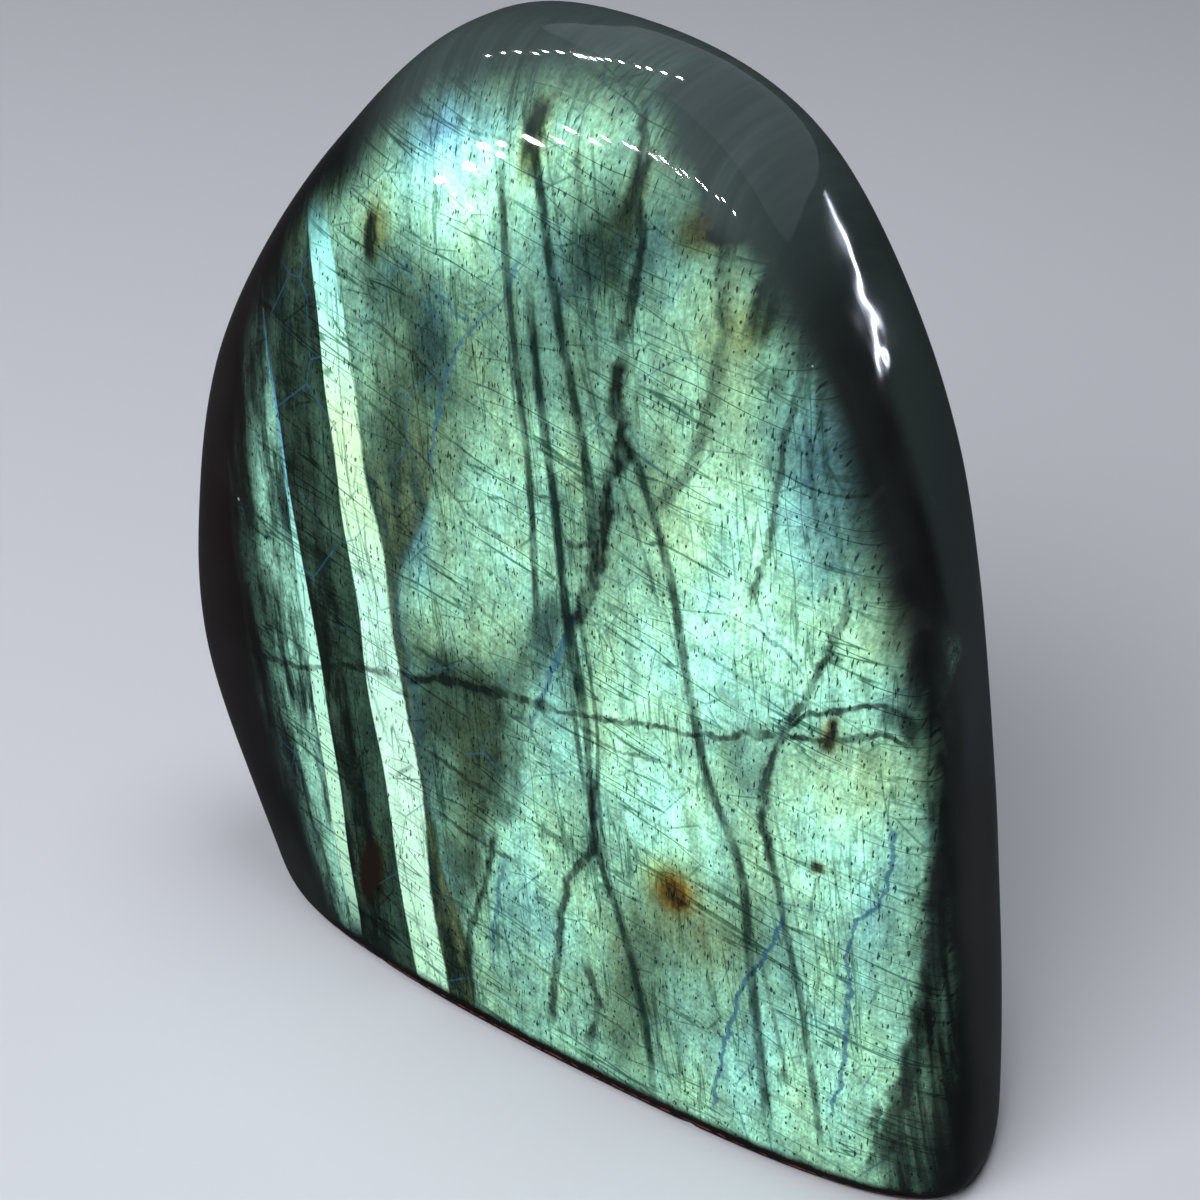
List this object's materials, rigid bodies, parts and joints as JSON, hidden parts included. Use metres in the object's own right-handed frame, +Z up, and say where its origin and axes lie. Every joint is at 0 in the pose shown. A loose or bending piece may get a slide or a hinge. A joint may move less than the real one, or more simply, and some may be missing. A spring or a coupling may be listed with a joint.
{
  "type": "polished labradorite freeform",
  "caption": "Free-standing slab of labradorite, ground to a rounded form, polished all over and sawn flat underneath so that it stands upright.",
  "frame": {"origin": "on the surface that the stone stands on, under the middle of its box", "axes": "+Z is up, -Y is the way that the broad front face with the flash looks, and +X is towards the stone's upright side"},
  "size_m": [0.1164, 0.039, 0.1209],
  "materials": {
    "stone": "highly polished dark feldspar with a green to blue flash in parallel bands, fine black needles, healed cracks and rusty spots"
  },
  "bodies": {
    "root": {"stone": "stone"}
  },
  "joints": []
}
